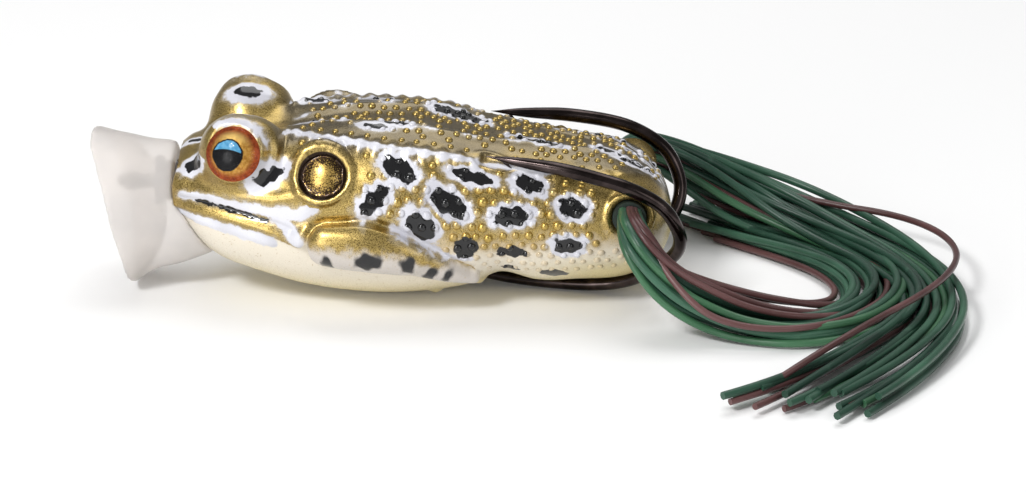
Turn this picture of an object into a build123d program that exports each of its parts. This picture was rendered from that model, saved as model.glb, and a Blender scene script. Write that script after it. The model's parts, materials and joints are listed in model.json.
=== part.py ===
from build123d import *
import math
import os

# Hollow frog popper, in millimetres. +X runs from the nose to the tail, +Z is up, and the
# frog's left side faces -Y. It stands on its belly, with Z = 0 at the lowest point.

# Overall sizes
body_length = 65.6       # nose face to tail
body_width = 28.6        # across the flanks
body_height = 23.4       # belly to back
cup_length = 12.1        # how far the popper cup's upper lip stands ahead of the nose
hook_overhang = 2.15     # how far the hook bends stand behind the tail
wall = 1.5               # soft skin of the hollow body

# Popper cup
cup_height = 22.0        # across the mouth, top to bottom
cup_width = 20.0
cup_rake = 6.3           # the lower lip stands this much behind the upper lip
cup_floor = 0.3          # lower lip above the ground
bowl_depth = 7.0
bowl_rim = 1.1           # thickness of the lip
neck_width = 13.0        # where the cup hugs the throat
neck_rake = 4.9
neck_below_back = 0.3    # its upper edge under the top of the snout
neck_below_chin = 0.8    # its lower edge under the chin

# Head
eye_bump_radius = 5.5
eye_bump_spread = 7.2    # half the distance between the bumps' centres
eye_bump_from_nose = 8.9
eye_bump_sunk = 0.3      # the bumps' centres below the back
eye_diameter = 7.3
eye_plug_depth = 2.0
eye_dome = 1.5
ear_from_nose = 20.4
ear_below_back = 3.8
ear_diameter = 8.1
ear_recess = 6.3
ear_dome = 5.3

# Arms
arm_length = 19.0
arm_height = 6.2
arm_from_nose = 25.5
arm_above_belly = 10.4

# Hook
wire_diameter = 1.5
wire_spread = 0.7        # half the distance between the two shanks where they are brazed
line_eye_bore = 2.0
line_eye_outer = 3.9
line_eye_ahead = 6.0     # centre of the line eye ahead of the nose face
shank_below_middle = 1.1 # the shank under the middle of the nose face
hook_travel = 1.2        # how far the soft body lets the hook be pushed back
hook_gap = 0.35          # clearance round the wire in the belly slot and the back grooves
point_length = 4.0

# Nose ferrule
ferrule_diameter = 5.0
ferrule_flange = 6.2
ferrule_length = 6.2
flange_thickness = 0.8
slot_clearance = 0.3

# Keel weight
weight_diameter = 5.2
weight_length = 10.5

# Skirt
leg_hole_from_tail = 5.4
leg_hole_below_back = 4.65
core_diameter = 4.4
core_half_length = 11.4
core_clearance = 0.08
leg_rim = 0.95
collar_thickness = 0.35
collar_width = 2.4
green_diameter = 2.8     # bundle of green strands, pulled together
brown_diameter = 1.4
seat_gap = 0.05          # moulded seats round the pieces that sit in them

nose_x = cup_length - (cup_length + body_length + hook_overhang) / 2
tail_x = nose_x + body_length
leg_hole_x = tail_x - leg_hole_from_tail
line_eye_x = nose_x - line_eye_ahead

# Shape of the body along its length: how far along, then the underside and the back as shares
# of the height, the half width as a share of half the width, and how square the back is
body_stations = [
    (0.000, 0.450, 0.842, 0.475, 2.2),
    (0.037, 0.342, 0.863, 0.587, 2.2),
    (0.075, 0.226, 0.876, 0.690, 2.2),
    (0.143, 0.141, 0.902, 0.811, 2.3),
    (0.247, 0.055, 0.957, 0.923, 2.6),
    (0.350, 0.010, 0.996, 0.979, 2.9),
    (0.450, 0.002, 1.000, 1.000, 3.0),
    (0.552, 0.032, 0.996, 0.979, 2.8),
    (0.620, 0.090, 0.970, 0.955, 2.4),
    (0.654, 0.137, 0.955, 0.940, 2.3),
    (0.715, 0.100, 0.920, 0.909, 2.3),
    (0.814, 0.094, 0.868, 0.860, 2.4),
    (0.890, 0.103, 0.830, 0.790, 2.5),
    (0.951, 0.160, 0.740, 0.660, 2.4),
    (0.986, 0.256, 0.620, 0.430, 2.2),
    (1.000, 0.350, 0.500, 0.180, 2.0),
]


def station(share):
    """Underside, back, half width and squareness of the body at a share of its length."""
    pairs = zip(body_stations, body_stations[1:])
    low, high = next(pair for pair in pairs if share <= pair[1][0] + 1e-9)
    mix = (share - low[0]) / (high[0] - low[0])
    under, top, half, square = (a + (b - a) * mix for a, b in zip(low[1:], high[1:]))
    return under * body_height, top * body_height, half * body_width / 2, square


def underside(from_nose):
    return station(from_nose / body_length)[0]


def back(from_nose):
    return station(from_nose / body_length)[1]


eye_bump_z = back(eye_bump_from_nose) - eye_bump_sunk
ear_z = back(ear_from_nose) - ear_below_back
arm_z = underside(arm_from_nose) + arm_above_belly
shank_z = (underside(0) + back(0)) / 2 - shank_below_middle
leg_hole_z = back(body_length - leg_hole_from_tail) - leg_hole_below_back
neck_top = back(0) - neck_below_back
neck_bottom = underside(neck_rake) - neck_below_chin


def section(share, inset):
    """Closed cross-section of the body, drawn in by the inset."""
    under, top, half, square = station(share)
    middle = (under + top) / 2
    rise = (top - under) / 2 - inset
    half = half - inset
    points = []
    for step in range(20):
        angle = 2 * math.pi * step / 20
        power = 2 / (square if math.sin(angle) >= 0 else 2.1)
        across = math.copysign(abs(math.cos(angle)) ** power, math.cos(angle))
        up = math.copysign(abs(math.sin(angle)) ** power, math.sin(angle))
        points.append((across * half, up * rise + middle))
    outline = Spline(points, periodic=True)
    return Plane(origin=(nose_x + share * body_length, 0, 0), x_dir=(0, 1, 0), z_dir=(1, 0, 0)) * make_face(outline)


def body_solid(inset, first=0.0, last=1.0):
    """Solid body between two shares of its length, drawn in by the inset."""
    inner = [s[0] for s in body_stations if first + 0.012 < s[0] < last - 0.012]
    return loft([section(share, inset) for share in [first, *inner, last]])


def surface_y(x, z, side):
    """Where the flank is at a place along the body and a height."""
    under, top, half, square = station((x - nose_x) / body_length)
    middle = (under + top) / 2
    rise = (top - under) / 2
    power = square if z > middle else 2.1
    return side * half * (1 - min(1, abs(z - middle) / rise) ** power) ** (1 / power)


def corner_radii(points, largest=1e9):
    """Tangent arc radius at each corner: as large as its two runs allow."""
    radii = []
    for before, at, after in zip(points, points[1:], points[2:]):
        into = Vector(at) - Vector(before)
        out = Vector(after) - Vector(at)
        half_turn = math.radians(into.get_angle(out)) / 2
        radii.append(min(largest, 0.45 * min(into.length, out.length) / math.tan(half_turn)))
    return radii


def tube(points, diameter):
    """Round bar of straight runs and tangent arcs."""
    path = FilletPolyline(*points, radius=corner_radii(points))
    start = Plane(origin=points[0], z_dir=Vector(points[1]) - Vector(points[0]))
    return sweep(start * Circle(diameter / 2), path=path)


# ---- pieces -------------------------------------------------------------------------------

def hook_points(side):
    """Centre line of one side's wire, from the line eye to the start of the point."""
    rear = tail_x + hook_overhang - wire_diameter / 2
    back_y = body_width / 2
    points = [
        (line_eye_x + line_eye_outer / 2 - 0.5, wire_spread, shank_z),
        (nose_x + 10.0, wire_spread, shank_z),
        (nose_x + 0.475 * body_length, wire_spread + 0.05, 0.22 * body_height),
        (nose_x + 0.600 * body_length, wire_spread + 0.15, 0.098 * body_height),
        (nose_x + 0.690 * body_length, wire_spread + 0.40, 0.046 * body_height),
        (nose_x + 0.840 * body_length, 0.18 * back_y, 0.038 * body_height),
        (rear - 6.2, 0.32 * back_y, 0.107 * body_height),
        (rear - 1.2, 0.53 * back_y, 0.290 * body_height),
        (rear, 0.68 * back_y, 0.415 * body_height),
        (rear - 0.5, 0.77 * back_y, 0.530 * body_height),
        (rear - 2.3, 0.82 * back_y, 0.665 * body_height),
        (rear - 6.2, 0.845 * back_y, 0.770 * body_height),
        (rear - 10.0, 0.830 * back_y, 0.820 * body_height),
        (nose_x + 0.784 * body_length, 0.765 * back_y, 0.866 * body_height),
        (nose_x + 0.690 * body_length, 0.680 * back_y, 0.892 * body_height),
    ]
    return [(x, side * y, z) for x, y, z in points]


def hook_wire(side, diameter):
    return tube(hook_points(side), diameter)


def hook_point(side):
    """Tapered point with a small barb, past the end of the wire."""
    points = hook_points(side)
    direction = (Vector(points[-1]) - Vector(points[-2])).normalized()
    end = Plane(origin=points[-1], z_dir=direction)
    spike = end * Pos(0, 0, point_length / 2) * Cone(wire_diameter / 2, 0.08, point_length)
    inward = Vector(0, -side * 0.35, -1).normalized()
    barb_end = Vector(points[-1]) + direction * 0.4 + inward * (wire_diameter * 0.62)
    barb_base = Vector(points[-1]) + direction * 2.4 + inward * 0.05
    lean = Plane(origin=barb_end, z_dir=barb_base - barb_end)
    long = (barb_base - barb_end).length
    barb = lean * Pos(0, 0, long / 2) * Cone(0.08, 0.34, long)
    return spike + barb


def double_hook():
    """Two wires brazed side by side along the shank, with a flat line eye at the front."""
    right = hook_wire(1, wire_diameter) + hook_point(1)
    keep = Pos(0, 50, 0) * Box(300, 100, 300)
    right = right & keep
    left = mirror(right, about=Plane.XZ)
    ring = Cylinder(line_eye_outer / 2, wire_diameter) - Cylinder(line_eye_bore / 2, 3 * wire_diameter)
    return right + left + Pos(line_eye_x, 0, shank_z) * ring


def hook_room():
    """Space that both wires sweep through, with clearance, over the hook's travel."""
    room = []
    for side in (-1, 1):
        wire = hook_wire(side, wire_diameter + 2 * hook_gap)
        room += [Pos(slide, 0, 0) * wire for slide in (0, hook_travel / 2, hook_travel)]
    return room


def point_room():
    """The same for the tapered points, as plain round pockets."""
    room = []
    for side in (-1, 1):
        points = hook_points(side)
        direction = (Vector(points[-1]) - Vector(points[-2])).normalized()
        end = Plane(origin=Vector(points[-1]) - direction, z_dir=direction)
        pocket = end * Pos(0, 0, (point_length + 1.6) / 2)
        room.append(pocket * Cylinder(wire_diameter / 2 + hook_gap + 0.25, point_length + 1.6))
    return room


def eye_plane(side):
    """Seat of one eye: its centre on the bump, facing out, ahead and up."""
    normal = Vector(-0.16, side * 0.91, 0.37).normalized()
    reach = math.sqrt(eye_bump_radius ** 2 - (eye_diameter / 2) ** 2)
    centre = Vector(nose_x + eye_bump_from_nose, side * eye_bump_spread, eye_bump_z)
    return Plane(origin=centre + normal * reach, z_dir=normal)


def eye_disc(side):
    """Painted plug that the eye is printed on."""
    return eye_plane(side) * Pos(0, 0, -eye_plug_depth / 2) * Cylinder(eye_diameter / 2, eye_plug_depth)


def eye_lens(side):
    """Clear dome over the painted disc."""
    half = eye_diameter / 2 - 0.1
    radius = (half ** 2 + eye_dome ** 2) / (2 * eye_dome)
    ball = Pos(0, 0, eye_dome - radius) * Sphere(radius)
    keep = Pos(0, 0, eye_dome) * Box(2 * eye_diameter, 2 * eye_diameter, 2 * eye_dome)
    return eye_plane(side) * (ball & keep)


def ear_plane(side):
    """Where the round ear sits on the shoulder."""
    x = nose_x + ear_from_nose
    y = surface_y(x, ear_z, side)
    return Plane(origin=(x, y - side * 0.5, ear_z), z_dir=Vector(-0.10, side * 0.80, 0.52).normalized())


def ear(side):
    """Raised ring and the recess inside it, then the dome that fills the middle."""
    plane = ear_plane(side)
    ring = plane * Pos(0, 0, -0.5) * Cylinder(ear_diameter / 2, 2.6)
    recess = plane * Pos(0, 0, 0.6) * Cylinder(ear_recess / 2, 1.4)
    radius = ((ear_dome / 2) ** 2 + 1.0) / 2
    ball = Pos(0, 0, 1.0 - radius) * Sphere(radius)
    dome = plane * ((ball & (Pos(0, 0, 0.5) * Box(9, 9, 1.0))))
    return ring, recess, plane * (Pos(0, 0, 0.02) * Cylinder(ear_dome / 2, 0.4)) + dome


def arm(side):
    """Folded fore-leg, a long low swelling on the flank."""
    x = nose_x + arm_from_nose
    y = surface_y(x, arm_z, side) - side * 1.2
    swelling = scale(Sphere(1), by=(arm_length / 2, 2.6, arm_height / 2))
    return Pos(x, y, arm_z) * Rot(0, 7, 0) * swelling


def leg_axis(length, diameter):
    """Bar across the tail on the line through both leg holes."""
    return Pos(leg_hole_x, 0, leg_hole_z) * Rot(90, 0, 0) * Cylinder(diameter / 2, length)


def leg_rims():
    """Moulded rim round both leg holes, standing out of the flanks."""
    outer = leg_axis(2 * core_half_length - 1.6, core_diameter + 2 * leg_rim)
    return outer - (Box(300, 2 * (core_half_length - 4.0), 300))


def body_shell():
    """Soft hollow body: skin, eye bumps, ears, arms, rims, belly slot, grooves and holes."""
    skin = body_solid(0)
    for side in (-1, 1):
        bump = Pos(nose_x + eye_bump_from_nose, side * eye_bump_spread, eye_bump_z)
        skin += bump * Sphere(eye_bump_radius)
        skin += arm(side)
    skin += leg_rims()
    skin -= body_solid(wall, 0.030, 0.978)
    for side in (-1, 1):
        ring, recess, dome = ear(side)
        skin = skin + ring - recess + dome
        keep_out = eye_plane(side)
        skin -= keep_out * Pos(0, 0, 4) * Cylinder(eye_diameter, 8)
        pocket = eye_plug_depth + seat_gap
        skin -= keep_out * Pos(0, 0, -pocket / 2) * Cylinder(eye_diameter / 2 + seat_gap, pocket)
    skin -= leg_axis(100, core_diameter + 2 * core_clearance)
    skin -= Pos(nose_x, 0, shank_z) * Rot(0, 90, 0) * Cylinder(ferrule_diameter / 2 + seat_gap, 12)
    for room in hook_room() + point_room():
        skin -= room
    return max(skin.solids(), key=lambda solid: solid.volume)


def cup_outer():
    """Flared horn from the throat to the mouth, both ends raked."""
    mouth_middle = Vector(nose_x - cup_length + cup_rake / 2, 0, cup_floor + cup_height / 2)
    mouth_up = Vector(-cup_rake, 0, cup_height)
    neck_middle = Vector(nose_x + neck_rake / 2, 0, (neck_top + neck_bottom) / 2)
    neck_up = Vector(-neck_rake, 0, neck_top - neck_bottom)
    mouth = Plane(origin=mouth_middle, x_dir=mouth_up, z_dir=mouth_up.cross(Vector(0, 1, 0)))
    neck = Plane(origin=neck_middle, x_dir=neck_up, z_dir=neck_up.cross(Vector(0, 1, 0)))
    horn = loft([mouth * Ellipse(mouth_up.length / 2, cup_width / 2),
                 neck * Ellipse(neck_up.length / 2, neck_width / 2)])
    return horn, mouth, mouth_up.length


def popper_cup():
    """Clear soft cup: a horn with a bowl scooped out of the mouth, seated on the nose."""
    horn, mouth, tall = cup_outer()
    bowl = scale(Sphere(1), by=(tall / 2 - bowl_rim, cup_width / 2 - bowl_rim, bowl_depth))
    cup = horn - mouth * bowl
    cup -= body_solid(-seat_gap)
    cup -= Pos(nose_x, 0, shank_z) * Rot(0, 90, 0) * Cylinder(ferrule_diameter / 2 + seat_gap, 20)
    seat = Pos(nose_x - 1.9 - 5, 0, shank_z) * Rot(0, 90, 0) * Cylinder(ferrule_flange / 2 + 0.1, 10)
    cup -= seat
    return max(cup.solids(), key=lambda solid: solid.volume)


def nose_ferrule():
    """Flanged bush through the cup and the nose, with a slot for the two shanks."""
    front = nose_x - 1.9
    tube_part = Pos(front + ferrule_length / 2, 0, shank_z) * Rot(0, 90, 0)
    bush = tube_part * Cylinder(ferrule_diameter / 2, ferrule_length)
    flange = Pos(front - flange_thickness / 2, 0, shank_z) * Rot(0, 90, 0)
    bush += flange * Cylinder(ferrule_flange / 2, flange_thickness)
    wide = 2 * wire_spread + wire_diameter + 2 * slot_clearance
    tall = wire_diameter + 2 * slot_clearance
    slot = Plane(origin=(front - 5, 0, shank_z), x_dir=(0, 1, 0), z_dir=(1, 0, 0)) * SlotOverall(wide, tall)
    return bush - extrude(slot, ferrule_length + 10)


def keel_weight():
    """Lead weight cast round the sloping shank inside the body."""
    points = hook_points(1)
    start = Vector(points[1][0], 0, points[1][2])
    end = Vector(points[2][0], 0, points[2][2])
    middle = start + (end - start) * 0.60
    place = Plane(origin=middle, z_dir=end - start)
    weight = place * fillet(Cylinder(weight_diameter / 2, weight_length).edges(), 1.6)
    for side in (-1, 1):
        weight -= hook_wire(side, wire_diameter + 0.02)
    weight -= place * Box(2 * wire_diameter, 0.4, 2 * weight_length)
    return weight


def skirt_core():
    """The strands pulled together where they pass through the body."""
    return leg_axis(2 * core_half_length, core_diameter)


def skirt_collar():
    """Rubber band round the strands inside the body."""
    outer = leg_axis(collar_width, core_diameter + 2 * collar_thickness)
    return outer - leg_axis(2 * collar_width, core_diameter)


# Routes of the four leg bundles, chosen by hand. Each starts on an end face of the core,
# turns down behind the flank and then lies on the ground. The left leg curls round inside
# the right one, which is the longer of the two.
left_green_route = [
    (31.9, -11.4, 13.2), (31.9, -14.4, 13.2), (33.4, -17.2, 11.4), (36.6, -18.0, 7.2),
    (41.8, -17.6, 3.6), (48.0, -19.0, 1.8), (54.6, -20.2, 1.6), (60.6, -16.8, 1.6),
    (64.4, -10.0, 1.6), (65.2, -2.0, 1.6), (62.4, 5.8, 1.6), (56.8, 12.0, 1.6),
    (50.4, 17.2, 1.6), (44.4, 22.0, 1.6), (39.6, 26.0, 1.6),
]
left_brown_route = [
    (33.2, -11.4, 14.9), (33.2, -14.2, 14.9), (35.4, -16.2, 13.4), (38.8, -15.8, 9.6),
    (42.6, -13.6, 5.6), (47.2, -12.4, 2.2), (52.6, -11.4, 0.9), (57.2, -8.2, 0.9),
    (59.6, -2.6, 0.9), (58.0, 3.8, 0.9), (53.4, 8.6, 0.9), (48.0, 12.8, 0.9),
    (43.2, 17.6, 0.9),
]
right_green_route = [
    (31.9, 11.4, 13.2), (31.9, 14.6, 13.2), (34.4, 18.4, 12.6), (39.6, 21.2, 9.6),
    (46.2, 22.0, 6.2), (53.6, 20.2, 3.6), (61.2, 14.6, 2.0), (68.0, 6.0, 1.6),
    (72.0, -4.0, 1.6), (71.8, -14.0, 1.6), (67.0, -24.4, 1.6), (60.4, -34.4, 1.6),
    (53.8, -42.8, 1.6), (48.4, -48.0, 1.6),
]
right_brown_route = [
    (33.2, 11.4, 14.9), (33.2, 15.0, 14.9), (37.0, 19.6, 14.4), (43.2, 23.6, 11.6),
    (50.4, 26.0, 8.0), (58.6, 24.8, 4.8), (66.6, 19.6, 2.8), (72.6, 12.2, 1.6),
    (75.2, 3.0, 2.4), (74.2, -7.2, 4.8), (70.8, -15.6, 5.2), (66.0, -23.6, 5.2),
    (59.6, -31.6, 4.6), (53.4, -36.6, 2.6), (48.0, -38.6, 0.9),
]
bundles = {
    "left_leg_green": (left_green_route, green_diameter),
    "left_leg_brown": (left_brown_route, brown_diameter),
    "right_leg_green": (right_green_route, green_diameter),
    "right_leg_brown": (right_brown_route, brown_diameter),
}

parts = {
    "body_shell": body_shell(),
    "popper_cup": popper_cup(),
    "nose_ferrule": nose_ferrule(),
    "double_hook": double_hook(),
    "keel_weight": keel_weight(),
    "skirt_core": skirt_core(),
    "skirt_collar": skirt_collar(),
}
for side, word in ((-1, "left"), (1, "right")):
    parts[word + "_eye_disc"] = eye_disc(side)
    parts[word + "_eye_lens"] = eye_lens(side)

for name, (route, diameter) in bundles.items():
    parts[name] = tube(route, diameter)
    radii = corner_radii(route)
    run = FilletPolyline(*route, radius=radii).length
    expected = run * math.pi * diameter ** 2 / 4
    print(name, "radii", [round(r, 1) for r in radii], "length", round(run, 1),
          "volume", round(parts[name].volume, 1), "expected", round(expected, 1))

print("line eye", round(line_eye_x, 4), round(shank_z, 4))
print("leg holes", round(leg_hole_x, 4), round(leg_hole_z, 4))

os.makedirs("parts", exist_ok=True)
for name, shape in parts.items():
    export_step(shape, "parts/" + name + ".step")
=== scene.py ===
import bpy
import bmesh
import json
import math
import random
import numpy as np
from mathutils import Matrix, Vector
from mathutils.bvhtree import BVHTree
from mathutils.kdtree import KDTree


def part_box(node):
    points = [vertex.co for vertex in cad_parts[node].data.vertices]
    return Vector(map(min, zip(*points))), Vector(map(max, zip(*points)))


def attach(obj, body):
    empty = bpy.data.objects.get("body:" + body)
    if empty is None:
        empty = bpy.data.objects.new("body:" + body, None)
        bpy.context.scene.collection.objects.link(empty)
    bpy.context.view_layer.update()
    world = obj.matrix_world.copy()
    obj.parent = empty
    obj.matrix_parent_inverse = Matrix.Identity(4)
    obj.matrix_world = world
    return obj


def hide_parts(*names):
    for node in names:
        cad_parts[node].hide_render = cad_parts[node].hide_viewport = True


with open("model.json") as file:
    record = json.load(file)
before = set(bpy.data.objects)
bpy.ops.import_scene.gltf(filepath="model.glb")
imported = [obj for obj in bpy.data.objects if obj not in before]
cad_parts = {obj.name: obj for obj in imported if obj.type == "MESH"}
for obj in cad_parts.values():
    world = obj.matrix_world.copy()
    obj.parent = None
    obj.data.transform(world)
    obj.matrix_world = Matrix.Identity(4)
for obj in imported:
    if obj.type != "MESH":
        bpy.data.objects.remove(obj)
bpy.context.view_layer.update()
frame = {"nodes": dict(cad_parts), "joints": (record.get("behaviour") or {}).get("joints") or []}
nodes = frame["nodes"]
joints = {joint["name"]: joint for joint in frame["joints"]}
legHole = Vector(joints["skirt_swing"]["pos_m"])  # on the line through both leg holes


# Small helpers

def report(text):
    print("popper:", text)


def deselectAll():
    if bpy.context.mode != "OBJECT":
        bpy.ops.object.mode_set(mode="OBJECT")
    bpy.ops.object.select_all(action="DESELECT")


def makeActive(piece):
    deselectAll()
    piece.select_set(True)
    bpy.context.view_layer.objects.active = piece


def addObject(name, data):
    piece = bpy.data.objects.new(name, data)
    bpy.context.scene.collection.objects.link(piece)
    return piece


def joinLoose(piece, outward=False):
    # joins corners that lie on one another and takes the old material off
    makeActive(piece)
    bpy.ops.object.mode_set(mode="EDIT")
    bpy.ops.mesh.select_all(action="SELECT")
    bpy.ops.mesh.remove_doubles(threshold=0.000002)
    if outward:
        bpy.ops.mesh.normals_make_consistent(inside=False)
    bpy.ops.object.mode_set(mode="OBJECT")
    piece.data.materials.clear()


def copyNode(nodeName, pieceName):
    # a copy of a CAD node with its loose triangles joined up
    piece = addObject(pieceName, nodes[nodeName].data.copy())
    piece.data.name = pieceName
    joinLoose(piece)
    return piece


def newCurve(name, resolution):
    data = bpy.data.curves.new(name, "CURVE")
    data.dimensions = "3D"
    data.resolution_u = resolution
    return data


def addSpline(data, places, shares):
    # a smooth line through places, each with its share of the full thickness
    spline = data.splines.new("NURBS")
    spline.points.add(len(places) - 1)
    for controlPoint, place, share in zip(spline.points, places, shares):
        controlPoint.co = (*place, 1.0)
        controlPoint.radius = share
    spline.order_u = 3
    spline.use_endpoint_u = True


def inMetres(route, side=1):
    # places given in millimetres, mirrored where side is -1
    return [(x * 0.001, side * y * 0.001, z * 0.001) for x, y, z, *_ in route]


def applyModifier(piece, kind, **values):
    makeActive(piece)
    modifier = piece.modifiers.new(kind.lower(), kind)
    for key, value in values.items():
        setattr(modifier, key, value)
    bpy.ops.object.modifier_apply(modifier=modifier.name)


def readPoints(mesh, field="co"):
    flat = np.empty(len(mesh.vertices) * 3)
    mesh.vertices.foreach_get(field, flat)
    return flat.reshape(-1, 3)


def writePoints(mesh, points):
    mesh.vertices.foreach_set("co", points.astype(np.float32).ravel())
    mesh.update()


def storeValue(mesh, name, values):
    layer = mesh.attributes.new(name, "FLOAT", "POINT")
    layer.data.foreach_set("value", values.astype(np.float32))


class MaterialMaker:
    # a material and short calls that add nodes to it
    def __init__(self, name):
        self.material = bpy.data.materials.new(name)
        self.material.use_nodes = True
        self.tree = self.material.node_tree
        self.shader = self.tree.nodes["Principled BSDF"]

    def plug(self, value, socket):
        if isinstance(value, bpy.types.NodeSocket):
            self.tree.links.new(value, socket)
        elif isinstance(value, tuple):
            socket.default_value = (*value, 1.0)
        else:
            socket.default_value = value

    def add(self, kind, inputs, output=0, **settings):
        # a new node with its settings and inputs; gives back one of its outputs
        node = self.tree.nodes.new(kind)
        for key, value in settings.items():
            setattr(node, key, value)
        for key, value in inputs.items():
            self.plug(value, node.inputs[key])
        return node.outputs[output]

    def attribute(self, name):
        return self.add("ShaderNodeAttribute", {}, "Fac", attribute_name=name)

    def noise(self, scale, detail=3.0, roughness=0.55, stretch=None):
        vector = self.add("ShaderNodeTexCoord", {}, "Object")
        if stretch:
            vector = self.add("ShaderNodeMapping", {"Vector": vector, "Scale": Vector(stretch)}, "Vector")
        inputs = {"Vector": vector, "Scale": scale, "Detail": detail, "Roughness": roughness}
        return self.add("ShaderNodeTexNoise", inputs, "Fac")

    def math(self, operation, a, b=0.0):
        return self.add("ShaderNodeMath", {0: a, 1: b}, operation=operation)

    def plus(self, a, b):
        return self.math("ADD", a, b)

    def times(self, a, b):
        return self.math("MULTIPLY", a, b)

    def rest(self, share):
        return self.math("SUBTRACT", 1.0, share)

    def span(self, value, low, high, toLow=0.0, toHigh=1.0):
        # carries a value from one range to another, with soft ends
        inputs = {"Value": value, "From Min": low, "From Max": high, "To Min": toLow, "To Max": toHigh}
        return self.add("ShaderNodeMapRange", inputs, "Result", interpolation_type="SMOOTHSTEP")

    def ripple(self, noise, amount):
        # the middle of a noise as a change to both sides of nothing
        return self.span(noise, 0.3, 0.7, -amount, amount)

    def mix(self, factor, a, b):
        return self.add("ShaderNodeMix", {"Factor": factor, 6: a, 7: b}, 2, data_type="RGBA")

    def tint(self, value, low, high, a, b):
        return self.mix(self.span(value, low, high), a, b)

    def blend(self, factor, a, b):
        return self.add("ShaderNodeMix", {"Factor": factor, 2: a, 3: b}, 0, data_type="FLOAT")

    def bump(self, height, distance, strength=1.0):
        inputs = {"Height": height, "Distance": distance, "Strength": strength}
        self.plug(self.add("ShaderNodeBump", inputs, "Normal"), self.shader.inputs["Normal"])

    def set(self, **values):
        for key, value in values.items():
            self.plug(value, self.shader.inputs[key.replace("_", " ")])


# Camera

view = {
    "lens": 150,
    "sensor": 36,
    "distance": 0.570,
    "aim": (0.0168, 0.0, 0.0054),
    "azimuth": 2.2,
    "elevation": 21.0,
}


def placeCamera():
    azimuth = math.radians(view["azimuth"])
    elevation = math.radians(view["elevation"])
    back = Vector((math.sin(azimuth) * math.cos(elevation),
                   -math.cos(azimuth) * math.cos(elevation),
                   math.sin(elevation)))
    data = bpy.data.cameras.new("camera")
    data.lens = view["lens"]
    data.sensor_width = view["sensor"]
    data.clip_start = 0.01
    data.clip_end = 20
    camera = addObject("camera", data)
    camera.location = Vector(view["aim"]) + back * view["distance"]
    camera.rotation_euler = (-back).to_track_quat("-Z", "Y").to_euler()
    bpy.context.scene.camera = camera


placeCamera()
report("camera placed")


# Skirt strands

# middle of each leg's bundle in millimetres, from inside its leg hole to the cut ends
leftGreenRoute = [
    (32.2, -11.4, 14.1), (32.2, -14.5, 14.2), (33.6, -17.4, 11.9), (36.6, -17.6, 7.2), (41.8, -16.6, 3.6),
    (48, -17.4, 1.8), (54.6, -18.2, 1.6), (60.6, -15.2, 1.6), (64.4, -9, 1.6), (65.2, -2, 1.6),
    (62.4, 5.8, 1.6), (56.8, 12, 1.6), (50.4, 17.2, 1.6), (44.4, 22, 1.6), (39.6, 26, 1.6),
]
rightGreenRoute = [
    (31.9, 11.4, 13.2), (31.9, 14.6, 13.2), (34.4, 18.4, 12.6), (39.6, 21.2, 9.6), (46.2, 22, 6.2),
    (53.6, 20.2, 3.6), (61.2, 14.6, 2), (68, 6, 1.6), (72, -4, 1.6), (71.8, -14, 1.6), (67, -24.4, 1.6),
    (60.4, -34.4, 1.6), (53.8, -42.8, 1.6), (48.4, -48, 1.6),
]

# the one brown strand that stands out from the right bundle
brownLoop = [
    (33.2, 11.4, 14.9), (33.2, 14.8, 14), (36.2, 18.4, 12.2), (42, 20.8, 8.6), (50, 22, 6),
    (60, 19.6, 4.6), (68.2, 16.2, 4.6), (74, 10.8, 4.4), (76.4, 3.6, 4.2), (74.8, -6.2, 5),
    (70.4, -16, 5.6), (64.4, -24.2, 5.6), (58.4, -31.4, 4.8), (52.8, -36.4, 3), (48.6, -39, 1),
]

# the brown strand on the near side of the left bundle, over the green ones
outerBrown = [
    (33, -11.4, 14.9), (33.4, -14.2, 14.9), (34.6, -15.8, 13), (36.8, -18.6, 9.8), (39.9, -21.2, 6.8),
    (43, -22.4, 4.6), (47.6, -22.8, 3.4), (52.8, -22.4, 3), (58, -20, 2.8), (63, -15, 2.6),
    (66.4, -8, 2.2), (66.8, 1, 1.8), (62.6, 9, 1.4), (56, 15, 1),
]

strand = {
    "thick": 0.00107,
    "brownThick": 0.00092,
    "floorGap": 0.00002,
    "slip": 0.22,         # how far a strand drifts across, as a share of the bundle
    "rise": 0.25,         # and upward
    "settle": 4,          # points before the drift is full
    "back": 0.0002,       # how far the near leg starts behind its route
    "endShare": (0.55, 1.15),
    "nearest": (-0.0468, -0.0418),  # the cut ends lie across the front between these
    "declared": 40,       # the most cords that can be declared
    "seed": 41,
}
# half widths and half heights of the bundles at each point of their routes, in millimetres
bundle = {
    "rightWide": (1.5, 1.7, 2.8, 4.0, 5.0, 5.6, 5.6, 4.8, 4.2, 4.6, 5.8, 6.8, 7.6, 8.0),
    "rightHigh": (1.5, 1.6, 2.3, 2.7, 2.7, 2.3, 1.8, 1.6, 1.5, 1.5, 1.3, 1.1, 1.0, 1.0),
    "leftWide": (1.2, 1.35, 1.9, 2.7, 3.5, 4.0, 4.3, 4.3, 4.2, 4.2, 4.6, 4.8, 4.8, 4.6, 4.4),
    "leftHigh": (1.1, 1.3, 1.6, 1.8, 1.8, 1.4, 1.1, 1.2, 1.4, 1.4, 1.1, 1.0, 0.9, 0.9, 0.9),
    "brownHigh": (0.7, 0.8, 1.2, 1.6, 1.8, 1.6, 1.2, 0.5, -0.4, -0.9, -1.0, -1.0, -1.0, -1.0, -1.0),
    "single": (0.1,) * 15,
}


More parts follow.
